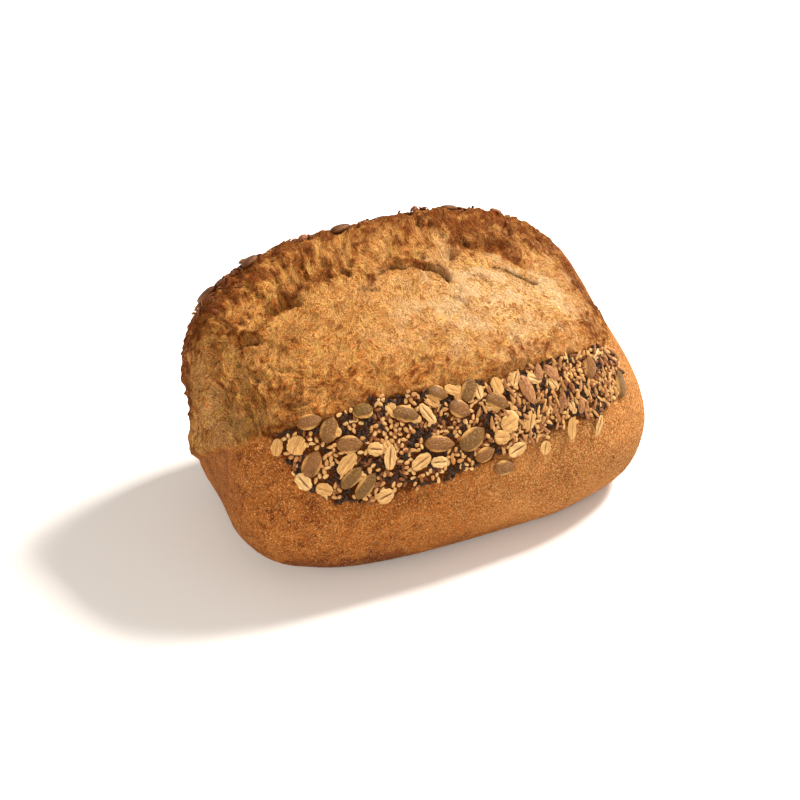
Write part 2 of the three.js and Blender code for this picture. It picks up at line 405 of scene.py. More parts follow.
# Small pits where gas came out, thick on the torn left end.
PIT_RADIUS, PIT_SCATTER = 0.42, 7.3
SMALL_PIT_DEPTH, END_PIT_DEPTH = 1.3, 1.9
small_pits = pits(4.6, 0.12, 31.0) * torn * np.maximum(ramp(girth, 84, 100), ramp(-along, 60, 90))
end_pits = pits(5.5, 0.5, 57.0) * torn * ramp(-along, 84, 97)
move -= SMALL_PIT_DEPTH * small_pits ** 0.7 + END_PIT_DEPTH * end_pits ** 0.7
hollow = np.maximum(hollow, 0.8 * np.maximum(small_pits, end_pits))

# How brown the crumb baked: palest on the crown of the burst, darker low down and at the ends.
# The left end is painted paler, as painted light where the lamps reach it weakly, and a little of
# that painted light also goes into the pale crumb.
low_front = ramp(girth, 66, 34) * (1 - ramp(-along, 76, 92))
painted_light_left_end = ramp(end_on, 0.35, 0.75) * ramp(-along, 60, 80)
toast_and_painted_light += torn * (0.42 * low_front + 0.12 * ramp(-along, 10, 80) + 0.14 * ramp(girth, 96, 112))
toast_and_painted_light -= torn * 0.32 * painted_light_left_end
toast_and_painted_light += torn * (0.30 * lumps(crust, 12.0, 3, 17.0) + 0.50 * lumps(crust, 5.5, 2, 19.0))
palest = 0.95 * bell(along - 38, 48) * bell(girth - 72, 28)
pale = np.maximum((torn - trough) * np.maximum(palest, 0.1 * painted_light_left_end), 0)
toast_and_painted_light -= 0.35 * pale
# The skin is painted darker towards the left end, as painted shade on the side away from the strong
# lamp, and it is also darker towards the bottom.
toast_and_painted_light += (1 - torn) * (0.02 + 0.69 * ramp(along, 50, -60) + 0.14 * lumps(crust, 22.0, 3, 23.0))
toast_and_painted_light += (1 - torn) * 0.40 * ramp(height, 24, 2)

# The seeds lie in two bands, edged here as mm along the loaf and degrees round it.
FRONT_TOP = [
    (-90, 27), (-78, 30), (-65, 30), (-46, 34), (-29, 33), (-3, 30), (16, 29), (40, 31), (77, 31),
    (86, 20),
]
FRONT_LOW = [
    (-90, 27), (-84, 6), (-73, -4), (-51, -7), (-41, -5), (-22, -5), (8, -2), (52, 1), (70, 1),
    (82, 6), (86, 20),
]
REAR_LOW = [
    (-94, 138), (-80, 130), (-46, 128), (0, 127), (29, 125), (51, 123), (66, 122), (80, 128),
]
REAR_TOP = [(-94, 138), (-84, 150), (-50, 158), (0, 160), (50, 156), (72, 146), (80, 128)]
NEVER = 999


def band(low, top, ragged_mm):
    """1 inside a band on the crust, and falling to 0 over its ragged edge."""
    low_edge = np.interp(along, *np.array(low, float).T, left=NEVER, right=NEVER)
    top_edge = np.interp(along, *np.array(top, float).T, left=-NEVER, right=-NEVER)
    inside = np.minimum(girth - low_edge, top_edge - girth) * MM_PER_DEGREE
    return ramp(inside + ragged_mm * lumps(crust, 3.0, 2, 41.0), -0.6, 1.0)


front_band = band(FRONT_LOW, FRONT_TOP, 1.6)
rear_band = band(REAR_LOW, REAR_TOP, 3.0)
# Under the seed bands the dough is painted browner, and under the front band it also gets painted
# shade: both stand for the shade in the gaps between the seeds.
toast_and_painted_light += 0.75 * front_band + 0.5 * rear_band
hollow = np.maximum(hollow, 0.75 * front_band)

crust = crust + outward * (move * above_base)[:, None]
crust[:, 2] = np.maximum(crust[:, 2], 0)

# What stands out of the torn crumb baked browner, and what lies deep in it is in shade.
SMOOTHING_PULLS = (0.5,) * 10
stands_out = ((crust - relax(crust, edges, SMOOTHING_PULLS)) * outward).sum(axis=1)
toast_and_painted_light += torn * 0.45 * np.clip(stands_out / 0.5, -0.5, 1.0)
hollow = np.maximum(hollow, (torn - trough) * 0.45 * ramp(-stands_out, 0.5, 1.5))
toast_and_painted_light = np.clip(toast_and_painted_light, 0, 1)


def new_piece(name, places, faces, attributes=None, uv=None):
    """A smooth-shaded object from places in millimetres, with float or vector attributes."""
    mesh = bpy.data.meshes.new(name)
    mesh.from_pydata((places * MM).tolist(), [], faces)
    for key, values in (attributes or {}).items():
        kind, field = ("FLOAT_VECTOR", "vector") if values.ndim == 2 else ("FLOAT", "value")
        layer = mesh.attributes.new(key, kind, "POINT")
        layer.data.foreach_set(field, values.astype(np.float32).ravel())
    if uv is not None:
        corners = np.empty(len(mesh.loops), int)
        mesh.loops.foreach_get("vertex_index", corners)
        mesh.uv_layers.new(name="lie").data.foreach_set("uv", uv[corners].astype(np.float32).ravel())
    mesh.shade_smooth()
    piece = bpy.data.objects.new(name, mesh)
    bpy.context.collection.objects.link(piece)
    return piece


baked_body = new_piece("baked_body", crust, quads.tolist(), {
    "torn": torn, "toast_and_painted_light": toast_and_painted_light, "hollow": hollow, "pale": pale, "webbed": webbed,
    "strand": strand * MM,
})


def place_node(tree, kind, inputs=None, **settings):
    """A new node with its settings, and its inputs linked or set."""
    made = tree.nodes.new(kind)
    for name, value in settings.items():
        setattr(made, name, value)
    fill_inputs(tree, made, inputs or {})
    return made


def new_group(name, kind, inputs, output):
    """A node group with named sockets, each as its name and kind, and its input node's outputs."""
    group = bpy.data.node_groups.new(name, kind)
    for socket, value in inputs:
        group.interface.new_socket(socket, in_out="INPUT", socket_type="NodeSocket" + value)
    group.interface.new_socket(output[0], in_out="OUTPUT", socket_type="NodeSocket" + output[1])
    return group, place_node(group, "NodeGroupInput").outputs


def arithmetic(tree, operation, a, b, clamp=False):
    """One step of arithmetic on masks or numbers."""
    made = place_node(tree, "ShaderNodeMath", {0: a, 1: b}, operation=operation, use_clamp=clamp)
    return made.outputs[0]


def share_of(tree, mask, share):
    """A mask cut down to a share of itself, or to where another mask is."""
    return arithmetic(tree, "MULTIPLY", mask, share)


def rise_between(tree, value, low, high, start=0.0, end=1.0, soft=False):
    """A mask that goes from start to end while the value goes from low to high."""
    return place_node(tree, "ShaderNodeMapRange", {
        "Value": value, "From Min": low, "From Max": high, "To Min": start, "To Max": end,
    }, interpolation_type="SMOOTHSTEP" if soft else "LINEAR").outputs["Result"]


# Cloudy patches of one size, as a mask from 0 to 1. Every baked surface here is made of them.
mottle, given = new_group("mottle", "ShaderNodeTree", (
    ("Place", "Vector"), ("Size mm", "Float"), ("Low", "Float"), ("High", "Float"),
), ("Mask", "Float"))
cloud = place_node(mottle, "ShaderNodeTexNoise", {
    "Vector": given["Place"], "Scale": arithmetic(mottle, "DIVIDE", 1 / MM, given["Size mm"]),
    "Detail": 3.0, "Roughness": 0.55,
})
level = rise_between(mottle, cloud.outputs["Fac"], given["Low"], given["High"], soft=True)
place_node(mottle, "NodeGroupOutput", {"Mask": level})

# Thin strands of torn crumb, as a mask: the lines where a cloud crosses its middle level.
hairs, given = new_group("hairs", "ShaderNodeTree", (
    ("Place", "Vector"), ("Size mm", "Float"), ("Thin", "Float"),
), ("Mask", "Float"))
cloud = place_node(hairs, "ShaderNodeTexNoise", {
    "Vector": given["Place"], "Scale": arithmetic(hairs, "DIVIDE", 1 / MM, given["Size mm"]),
    "Detail": 1.5, "Roughness": 0.5,
})
off_level = arithmetic(hairs, "SUBTRACT", cloud.outputs["Fac"], 0.5)
off_level = arithmetic(hairs, "ABSOLUTE", off_level, 0)
line = rise_between(hairs, off_level, given["Thin"], 0.0, soft=True)
place_node(hairs, "NodeGroupOutput", {"Mask": line})


def add_mottle(tree, place, size, low, high):
    """Cloudy patches of a size in mm, as a mask that comes up between two levels of the cloud."""
    return place_node(tree, "ShaderNodeGroup", {
        "Place": place, "Size mm": size, "Low": low, "High": high,
    }, node_tree=mottle).outputs["Mask"]


def add_hairs(tree, place, size, thin):
    """Thin lines that wander where the place is stretched, as a mask."""
    return place_node(tree, "ShaderNodeGroup", {
        "Place": place, "Size mm": size, "Thin": thin,
    }, node_tree=hairs).outputs["Mask"]


def mix_colour(tree, share, a, b):
    """The first colour, with that share of the second."""
    made = place_node(tree, "ShaderNodeMix", {0: share, 6: a, 7: b}, data_type="RGBA")
    return made.outputs[2]


def lay_colours(tree, under, *layers):
    """Lays colours over one another, each as its mask, its share of that, and its colour."""
    for mask, share, colour in layers:
        under = mix_colour(tree, share_of(tree, mask, share), under, colour)
    return under


def read_attribute(tree, name, output="Fac"):
    """One of the piece's own attributes."""
    return place_node(tree, "ShaderNodeAttribute", attribute_name=name).outputs[output]


def stretch(tree, place, by):
    """A place, squeezed or drawn out by a factor each way."""
    return place_node(
        tree, "ShaderNodeVectorMath", {0: place, 1: by}, operation="MULTIPLY",
    ).outputs["Vector"]


def add_bump(tree, relief, strength, depth):
    """A relief of that depth in mm, too fine for the mesh."""
    return place_node(tree, "ShaderNodeBump", {
        "Strength": strength, "Distance": depth * MM, "Height": relief,
    }).outputs["Normal"]


# The crust's colours: the skin and its flour, the crumb, the grain of both, and the browning.
SKIN_BROWN = (0.26, 0.062, 0.012, 1)
SKIN_TAN = (0.43, 0.138, 0.036, 1)
SKIN_SPECK = (0.06, 0.015, 0.004, 1)
FLOUR = (0.94, 0.48, 0.17, 1)
CRUMB_PALE = (0.78, 0.350, 0.100, 1)
CRUMB_GOLD = (0.57, 0.180, 0.022, 1)
CRUMB_CREAM = (0.87, 0.56, 0.29, 1)
CRUMB_WHITE = (0.88, 0.64, 0.37, 1)
RED_SPOT = (0.46, 0.105, 0.014, 1)
GRAIN_DARK = (0.27, 0.060, 0.004, 1)
GRAIN_PALE = (0.86, 0.49, 0.165, 1)
WEB_PALE = (0.84, 0.47, 0.11, 1)
TOASTED_GOLD = (0.42, 0.108, 0.006, 1)
TOASTED = (0.145, 0.026, 0.003, 1)
SHADE = (0.065, 0.015, 0.002, 1)

baked_crust, tree, surface = new_material("baked_crust")
place = place_node(tree, "ShaderNodeTexCoord").outputs["Object"]
strands = read_attribute(tree, "strand", "Vector")
torn_mask = read_attribute(tree, "torn")
toast_and_painted_light_mask = read_attribute(tree, "toast_and_painted_light")
hollow_mask = read_attribute(tree, "hollow")
pale_mask = read_attribute(tree, "pale")
webbed_mask = read_attribute(tree, "webbed")

# Its clouds, each with its size in mm and the two levels it comes up between. The hairs have
# their size and how thin they are.
grain = add_mottle(tree, place, 0.85, 0.50, 0.60)
fine_grain = add_mottle(tree, place, 0.48, 0.48, 0.60)
dark_grain = add_mottle(tree, place, 1.15, 0.53, 0.62)
specks = add_mottle(tree, place, 1.9, 0.62, 0.67)
flour = add_mottle(tree, place, 0.75, 0.57, 0.63)
spots = add_mottle(tree, place, 3.4, 0.54, 0.66)
red_spots = add_mottle(tree, place, 2.4, 0.55, 0.63)
islands = add_mottle(tree, place, 11.0, 0.46, 0.60)
patches = add_mottle(tree, place, 8.0, 0.38, 0.62)
broad = add_mottle(tree, place, 26.0, 0.38, 0.64)
threads = add_mottle(tree, strands, 0.8, 0.46, 0.60)
pale_hairs = add_hairs(tree, strands, 1.6, 0.028)
dark_hairs = add_hairs(tree, strands, 2.6, 0.022)

# The webs of longer strands, strongest where the crumb tore open widest.
drawn_out = stretch(tree, strands, (1.0, 0.5, 0.5))
streaky = share_of(tree, rise_between(tree, webbed_mask, 0, 1, 0.60, 1.0), torn_mask)
web_hairs = share_of(tree, add_hairs(tree, drawn_out, 2.2, 0.034), streaky)
web_gaps = share_of(tree, add_mottle(tree, drawn_out, 1.7, 0.53, 0.64), streaky)

# White islands rise on the palest crumb, and small red spots lie between them.
ashore = share_of(tree, share_of(tree, islands, pale_mask), torn_mask)
off_shore = arithmetic(tree, "SUBTRACT", 1.0, islands)
skin = lay_colours(tree, SKIN_BROWN, (broad, 1.0, SKIN_TAN), (patches, 0.4, SKIN_TAN))
crumb = lay_colours(
    tree, CRUMB_PALE,
    (patches, 1.0, CRUMB_GOLD),
    (pale_mask, 1.0, CRUMB_CREAM),
    (spots, 0.58, TOASTED_GOLD),
    (ashore, 0.9, CRUMB_WHITE),
    (share_of(tree, red_spots, off_shore), 0.85, RED_SPOT),
)
body = mix_colour(tree, torn_mask, skin, crumb)

# The browning is blotchy, and turns from orange to red-brown where it is strong. It carries the
# painted shade and painted light that were laid into the toast too.
uneven = arithmetic(tree, "ADD", share_of(tree, spots, 0.35), share_of(tree, patches, 0.35))
browned = arithmetic(tree, "MULTIPLY", toast_and_painted_light_mask, arithmetic(tree, "ADD", uneven, 0.80), True)
deep_brown = mix_colour(tree, rise_between(tree, browned, 0.50, 1.0), TOASTED_GOLD, TOASTED)

# Over the browning lie dark grain and strands, then pale ones, which are fainter where it is
# browner. Last come the flour on the skin, the whitest crumb, and the shade in the hollows.
bright = rise_between(tree, browned, 0, 1, 0.60, 0.08)
bright = share_of(tree, bright, rise_between(tree, torn_mask, 0, 1, 0.98, 1.0))
unbrowned = arithmetic(tree, "SUBTRACT", 1.0, browned)
untorn = arithmetic(tree, "SUBTRACT", 1.0, torn_mask)
bright_hairs = share_of(tree, share_of(tree, pale_hairs, bright), torn_mask)
body = lay_colours(
    tree, body,
    (browned, 1.0, deep_brown),
    (dark_grain, 0.62, GRAIN_DARK),
    (specks, 0.85, SKIN_SPECK),
    (share_of(tree, threads, torn_mask), 0.40, GRAIN_DARK),
    (share_of(tree, dark_hairs, torn_mask), 0.8, GRAIN_DARK),
    (web_gaps, 0.62, GRAIN_DARK),
    (share_of(tree, grain, bright), 1.0, GRAIN_PALE),
    (share_of(tree, fine_grain, bright), 0.7, GRAIN_PALE),
    (bright_hairs, 1.0, GRAIN_PALE),
    (share_of(tree, web_hairs, bright), 1.9, WEB_PALE),
    (share_of(tree, flour, untorn), 0.50, FLOUR),
    (share_of(tree, ashore, unbrowned), 0.75, CRUMB_CREAM),
    (hollow_mask, 0.85, SHADE),
)

# The finest relief, too fine for the mesh.
relief = arithmetic(tree, "ADD", share_of(tree, grain, 0.55), share_of(tree, fine_grain, 0.35))
torn_relief = share_of(tree, pale_hairs, 0.6)
for mask, share in ((threads, 0.9), (spots, 0.9), (dark_hairs, 0.5)):
    torn_relief = arithmetic(tree, "SUBTRACT", torn_relief, share_of(tree, mask, share))
torn_relief = arithmetic(tree, "ADD", torn_relief, arithmetic(tree, "SUBTRACT", web_hairs, web_gaps))
relief = arithmetic(tree, "ADD", relief, share_of(tree, torn_relief, torn_mask))
relief = arithmetic(tree, "SUBTRACT", relief, share_of(tree, dark_grain, 0.5))
relief = arithmetic(tree, "ADD", relief, share_of(tree, patches, 0.8))

# Browned crust is a little smoother than flour and crumb.
fill_inputs(tree, surface, {
    "Base Color": body, "Roughness": rise_between(tree, browned, 0, 1, 0.92, 0.65),
    "Specular IOR Level": 0.04, "Normal": add_bump(tree, relief, strength=1.0, depth=1.2),
})

baked_body.data.materials.append(baked_crust)
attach(baked_body, "root")
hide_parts("loaf_body")


# ---- Pumpkin kernels ------------------------------------------------------------------------
# Hulled kernels, flat and pointed at one end, with a thin pale rim. They were pressed into the
# wet dough, so they lie flush on it among the small seeds, and the oven toasted their backs.

SEEK_FROM = 12
crust_tree = BVHTree.FromPolygons(crust.tolist(), quads.tolist())


def lie_of(node):
    """Where a seed lies in the CAD: its middle, the ways its pointed end, its width and its back
    face, and its length and width."""
    places = np.unique(node_mesh(node)[0].round(3), axis=0)
    middle = (places.max(axis=0) + places.min(axis=0)) / 2
    up, wide, long = np.linalg.eigh(np.cov((places - middle).T))[1].T
    if (((places - middle) @ long) * ((places - middle) @ wide) ** 2).sum() > 0:
        long = -long
    if up @ (middle - (middle[0] * 0.6, 0, AXIS_HEIGHT)) < 0:
        up = -up
    wide = np.cross(up, long)
    return middle, long, wide, up, np.ptp(places @ long), np.ptp(places @ wide)


def seat(middle, up):
    """The place on the baked crust under a seed, looked for from well above it."""
    hit = crust_tree.ray_cast(Vector(middle + up * SEEK_FROM), Vector(-up))[0]
    return np.array(hit) if hit else middle


def seed_shape(rings, sides):
    """A closed unit seed of rings and sides: its steps along and round it, and its faces."""
    along_it = [-math.cos(math.pi * n / rings) for n in range(1, rings)]
    places = [(-1.0, 0.0)] + [(x, 2 * math.pi * k / sides) for x in along_it for k in range(sides)]
    places.append((1.0, 0.0))
    last = len(places) - 1
    faces = []
    for k in range(sides):
        after = (k + 1) % sides
        faces.append((0, 1 + after, 1 + k))
        faces.append((last, last - sides + k, last - sides + after))
        for n in range(rings - 2):
            low = 1 + n * sides
            faces.append((low + k, low + after, low + sides + after, low + sides + k))
    return np.array(places), faces


def lay_seeds(name, lies, profile, rings, sides, lift, chance_seed):
    """One piece from a seed at each lie. The profile gives a seed's places, from its steps along
    and round it, its size, and a few random numbers of its own."""
    chance = np.random.default_rng(chance_seed)
    unit, unit_faces = seed_shape(rings, sides)
    all_places, all_faces, all_uvs, all_tones = [], [], [], []
    for n, (middle, long, wide, up, length, width) in enumerate(lies):
        own = chance.random(6)
        local = profile(unit[:, 0], unit[:, 1], length, width, own)
        base = seat(middle, up) + up * lift
        all_places.append(base + local @ np.array([long, wide, up]))
        all_faces += [tuple(v + n * len(unit) for v in face) for face in unit_faces]
        all_uvs.append(np.stack([local[:, 0] * 2 / length, local[:, 1] * 2 / width], axis=1))
        all_tones.append(np.full(len(unit), own[0]))
    return new_piece(
        name,
        np.concatenate(all_places),
        all_faces,
        {"tone": np.concatenate(all_tones)},
        np.concatenate(all_uvs),
    )


def pumpkin_profile(x, turn, length, width, own):
    """Flat, with a groove inside its rim, a point at one end, and a bend and dent of its own."""
    reach = np.clip(1 - x ** 2, 0, 1) ** (0.5 + 0.34 * np.maximum(x, 0) + 0.06)
    reach = reach * (1 - 0.10 * x)
    side = np.cos(turn)
    across = side * reach * width / 2
    thick = np.sign(np.sin(turn)) * np.abs(np.sin(turn)) ** 0.85 * reach ** 0.6 * 1.75
    thick -= 0.22 * bell(np.abs(side) - 0.86, 0.13) * np.sign(thick) * (reach > 0.2)
    bend = (own[1] - 0.35) * 0.9 * (across / width * 2) ** 2 + (own[2] - 0.6) * 0.8 * x ** 2
    dent = 0.35 * (own[3] - 0.3) * bell(x - own[4] + 0.3, 0.4) * bell(side, 0.5) * (thick > 0)
    return np.stack([x * length / 2, across, thick + bend - dent], axis=1)


# What the oven did to the seeds: those high on the loaf are browned, as a mask of the place.
BROWNED_FROM, BROWNED_TO = 84 * MM, 106 * MM
crown_heat, given = new_group(
    "crown_heat", "ShaderNodeTree", (("Place", "Vector"),), ("Mask", "Float"),
)
how_high = place_node(crown_heat, "ShaderNodeSeparateXYZ", {"Vector": given["Place"]})
heat = rise_between(
    crown_heat, how_high.outputs["Z"], BROWNED_FROM, BROWNED_TO, end=0.85, soft=True,
)
place_node(crown_heat, "NodeGroupOutput", {"Mask": heat})


def brown_on_crown(tree, place, colour, browned):
    """The colour, browned where the place is high on the loaf."""
    made = place_node(tree, "ShaderNodeGroup", {"Place": place}, node_tree=crown_heat)
    return mix_colour(tree, made.outputs["Mask"], colour, browned)


def seed_places(tree):
    """What a seed's coat follows: the place on the loaf, the place on the seed, and its tone."""
    place = place_node(tree, "ShaderNodeTexCoord").outputs["Object"]
    lie = place_node(tree, "ShaderNodeUVMap", uv_map="lie").outputs["UV"]
    return place, lie, read_attribute(tree, "tone")


def from_middle(tree, lie, way):
    """How far from the seed's middle a place on it is, lengthwise X or crosswise Y."""
    parts = place_node(tree, "ShaderNodeSeparateXYZ", {"Vector": lie})
    return arithmetic(tree, "ABSOLUTE", parts.outputs[way], 0)


pumpkin_nodes = sorted(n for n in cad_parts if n.startswith("pumpkin_kernel"))
pumpkin_lies = [lie_of(node) for node in pumpkin_nodes]
pumpkin_kernels = lay_seeds(
    "pumpkin_kernels", pumpkin_lies, pumpkin_profile, rings=18, sides=24, lift=0.9, chance_seed=11,
)

PUMPKIN_TOAST = (0.175, 0.066, 0.016, 1)
PUMPKIN_OLIVE = (0.115, 0.056, 0.009, 1)
PUMPKIN_RIM = (0.56, 0.30, 0.085, 1)
PUMPKIN_DARK = (0.06, 0.022, 0.008, 1)
PUMPKIN_BROWNED = (0.085, 0.026, 0.008, 1)

toasted_pumpkin, tree, surface = new_material("toasted_pumpkin")
place, lie, tone = seed_places(tree)
rim = rise_between(tree, from_middle(tree, lie, "Y"), 0.60, 0.90)
dusty = add_mottle(tree, place, 0.8, 0.45, 0.7)
kernel = lay_colours(
    tree, PUMPKIN_TOAST,
    (tone, 1.0, PUMPKIN_OLIVE),
    (rim, 0.85, PUMPKIN_RIM),
    (add_mottle(tree, place, 3.0, 0.5, 0.72), 0.5, PUMPKIN_DARK),
    (dusty, 0.26, PUMPKIN_RIM),
)
kernel = brown_on_crown(tree, place, kernel, PUMPKIN_BROWNED)
lines = place_node(tree, "ShaderNodeTexWave", {
    "Vector": lie, "Scale": 1.6, "Distortion": 1.5, "Detail": 2.0,
}, bands_direction="Y").outputs["Fac"]
relief = arithmetic(tree, "ADD", share_of(tree, lines, 0.3), dusty)
fill_inputs(tree, surface, {
    "Base Color": kernel, "Roughness": 0.40, "Specular IOR Level": 0.17,
    "Normal": add_bump(tree, relief, strength=0.8, depth=0.4),
})

pumpkin_kernels.data.materials.append(toasted_pumpkin)
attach(pumpkin_kernels, "root")
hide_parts(*pumpkin_nodes)


# ---- Sunflower kernels ----------------------------------------------------------------------
# Hulled sunflower kernels, long and plump, with soft ribs from end to end. They baked tan, and
# lie among the small seeds at the right end of the front band and behind the ear.

def sunflower_profile(x, turn, length, width, own):
    """Plump, ribbed from end to end, narrower at one end, and bent a little."""
    reach = np.clip(1 - x ** 2, 0, 1) ** (0.56 + 0.3 * np.maximum(x, 0)) * (1 - 0.16 * x)
    ribs = 1 + 0.055 * np.cos(9 * turn + own[1] * 6) * reach
    across = np.cos(turn) * reach * ribs * width / 2
    thick = np.sin(turn) * reach ** 0.8 * ribs * 1.45
    bend = (own[2] - 0.5) * 1.2 * x ** 2
    return np.stack([x * length / 2, across, thick + bend], axis=1)


sunflower_nodes = sorted(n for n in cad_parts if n.startswith("sunflower_kernel"))
sunflower_lies = [lie_of(node) for node in sunflower_nodes]
sunflower_kernels = lay_seeds(
    "sunflower_kernels", sunflower_lies, sunflower_profile, rings=20, sides=36, lift=1.0,
    chance_seed=12,
)

SUNFLOWER_TAN = (0.40, 0.18, 0.068, 1)
SUNFLOWER_BROWN = (0.17, 0.056, 0.019, 1)
SUNFLOWER_PALE = (0.58, 0.34, 0.15, 1)
SUNFLOWER_BROWNED = (0.22, 0.08, 0.03, 1)

toasted_sunflower, tree, surface = new_material("toasted_sunflower")
place, lie, tone = seed_places(tree)
ribs = place_node(tree, "ShaderNodeTexNoise", {
    "Vector": stretch(tree, lie, (0.25, 3.0, 1.0)), "Scale": 2.2, "Detail": 3.0,
})
rib_mask = rise_between(tree, ribs.outputs["Fac"], 0.38, 0.62)
dusty = add_mottle(tree, place, 1.0, 0.45, 0.7)
between_ribs = mix_colour(tree, tone, SUNFLOWER_TAN, SUNFLOWER_BROWN)
kernel = lay_colours(
    tree, SUNFLOWER_BROWN, (rib_mask, 1.0, between_ribs), (dusty, 0.5, SUNFLOWER_PALE),
)
kernel = brown_on_crown(tree, place, kernel, SUNFLOWER_BROWNED)
relief = arithmetic(tree, "ADD", rib_mask, share_of(tree, dusty, 0.4))
fill_inputs(tree, surface, {
    "Base Color": kernel, "Roughness": 0.6, "Specular IOR Level": 0.2,
    "Normal": add_bump(tree, relief, strength=0.7, depth=0.25),
})

sunflower_kernels.data.materials.append(toasted_sunflower)
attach(sunflower_kernels, "root")
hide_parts(*sunflower_nodes)


# ---- Oat flakes -----------------------------------------------------------------------------
# Whole oats steamed and rolled flat: pale yellow ovals with a split rim and a dark crease down
# the middle. The large ones lie on top of the seeds, and more of them fill the band between.

def oat_profile(x, turn, length, width, own):
    """Thin, creased along its middle, with a split rim, and curled and ruffled as it dried."""
    side = np.cos(turn)
    reach = np.clip(1 - x ** 2, 0, 1) ** 0.42 * (1 - 0.12 * (own[1] - 0.3) * x)
    split = 0.06 * np.sin(7 * x + 9 * own[2]) + 0.05 * np.sin(13 * x * np.sign(side) + 20 * own[3])
    across = side * reach * (1 + split) * width / 2
    crease = 0.34 * bell(across, 0.32) * np.clip(1.1 - np.abs(x), 0, 1)
    thick = np.sin(turn) * reach ** 0.5 * (0.42 + 0.16 * (1 - side ** 2))
    curl = (own[4] - 0.25) * 1.1 * (across / width * 2) ** 2 + (own[5] - 0.5) * 1.3 * x ** 2
    ruffle = 0.16 * np.sin(6 * x + 5 * side + 12 * own[2]) * np.abs(side)
    return np.stack([x * length / 2, across, thick + curl + ruffle - crease], axis=1)


# More flakes, each as mm along the loaf, degrees round it, degrees turned, and mm long and wide.
MORE_OATS = [
    (-70, 24, 20, 8.5, 5.5), (-40, 27, 60, 8.0, 5.0), (-31, 22, 35, 8.0, 4.6),
    (-54, 29, 15, 9.0, 5.0), (-46, 12, 80, 8.0, 5.2), (-20, 27, 50, 8.5, 5.0),
    (-6, 27, 100, 8.0, 4.6), (4, 26, 85, 8.0, 4.6), (10, 18, 20, 8.0, 5.4),
    (-22, 2, 10, 8.0, 5.2), (24, 27, 120, 7.0, 4.8), (34, 25, 30, 7.5, 4.6),
    (18, 12, 40, 8.0, 5.0), (28, 8, 110, 9.0, 4.8), (44, 20, 60, 7.0, 4.2),
    (74, 27, 150, 7.0, 4.2), (-62, 4, 30, 7.5, 5.0), (52, 8, 75, 7.0, 3.6),
    (-52, 138, 40, 8.5, 5.5), (-28, 129, 110, 8.0, 5.0), (6, 134, 15, 8.5, 5.0),
    (-10, 145, 70, 8.0, 5.4), (38, 140, 130, 8.0, 5.0), (58, 130, 60, 7.5, 4.6),
    (-70, 130, 150, 8.0, 5.0), (24, 124, 95, 7.5, 4.8),
]


def lie_at(along_loaf, degrees, turned, length, width):
    """The lie of a seed at a place on the crust, turned from pointing along the loaf."""
    out_way = np.array([0, -math.cos(math.radians(degrees)), math.sin(math.radians(degrees))])
    core = np.array([along_loaf * 0.94, 0, AXIS_HEIGHT])
    hit, facing = crust_tree.ray_cast(Vector(core + out_way * 120), Vector(-out_way))[:2]
    up = np.array(facing)
    up = up if up @ out_way > 0 else -up
    flat = np.cross(up, (1, 0, 0))
    flat /= np.linalg.norm(flat)
    straight = np.cross(flat, up)
    turned = math.radians(turned)
    long = straight * math.cos(turned) - flat * math.sin(turned)
    return np.array(hit), long, np.cross(up, long), up, length, width


oat_nodes = sorted(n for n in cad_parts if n.startswith("oat_flake"))
oat_lies = [lie_of(node) for node in oat_nodes]
more_oat_lies = [lie_at(*row) for row in MORE_OATS]
oat_flakes = lay_seeds(
    "oat_flakes", oat_lies, oat_profile, rings=22, sides=28, lift=1.5, chance_seed=13,
)
small_oat_flakes = lay_seeds(
    "small_oat_flakes", more_oat_lies, oat_profile, rings=22, sides=28, lift=1.0, chance_seed=14,
)

OAT_CREAM = (0.74, 0.50, 0.22, 1)
OAT_GOLD = (0.50, 0.26, 0.072, 1)
OAT_TAN = (0.33, 0.135, 0.030, 1)
OAT_CREASE = (0.14, 0.045, 0.012, 1)
OAT_BROWNED = (0.42, 0.17, 0.05, 1)

rolled_oat, tree, surface = new_material("rolled_oat")
place, lie, tone = seed_places(tree)
veins = place_node(tree, "ShaderNodeTexNoise", {
    "Vector": stretch(tree, lie, (0.5, 2.6, 1.0)), "Scale": 2.4, "Detail": 4.0, "Roughness": 0.6,
}).outputs["Fac"]
vein_mask = rise_between(tree, veins, 0.42, 0.66)

# The crease wanders off the middle line with the veins, and stops short of the tips. Flakes of
# the deeper tones lie face down and hardly show theirs.
crosswise = place_node(tree, "ShaderNodeSeparateXYZ", {"Vector": lie}).outputs["Y"]
stray = share_of(tree, arithmetic(tree, "SUBTRACT", veins, 0.5), 0.5)
off_line = arithmetic(tree, "ABSOLUTE", arithmetic(tree, "ADD", crosswise, stray), 0)
before_tip = rise_between(tree, from_middle(tree, lie, "X"), 0.95, 0.55)
crease = share_of(tree, rise_between(tree, off_line, 0.16, 0.04), before_tip)
face_up = rise_between(tree, tone, 0.75, 0.55, 0.15, 0.9)
flake = lay_colours(
    tree, OAT_CREAM,
    (tone, 1.0, OAT_GOLD),
    (vein_mask, 0.85, OAT_TAN),
    (crease, face_up, OAT_CREASE),
)
flake = brown_on_crown(tree, place, flake, OAT_BROWNED)
relief = arithmetic(tree, "SUBTRACT", vein_mask, crease)
fill_inputs(tree, surface, {
    "Base Color": flake, "Roughness": 0.68, "Specular IOR Level": 0.2,
    "Normal": add_bump(tree, relief, strength=0.9, depth=0.3),
})

oat_flakes.data.materials.append(rolled_oat)
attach(oat_flakes, "root")
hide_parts(*oat_nodes)
small_oat_flakes.data.materials.append(rolled_oat)
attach(small_oat_flakes, "root")


# ---- Small seeds ----------------------------------------------------------------------------
# Sesame, black sesame, linseed and split grains, strewn over the bands so thickly that little
# dough shows. They fill the gaps between the kernels and thin out at the edges of each band.

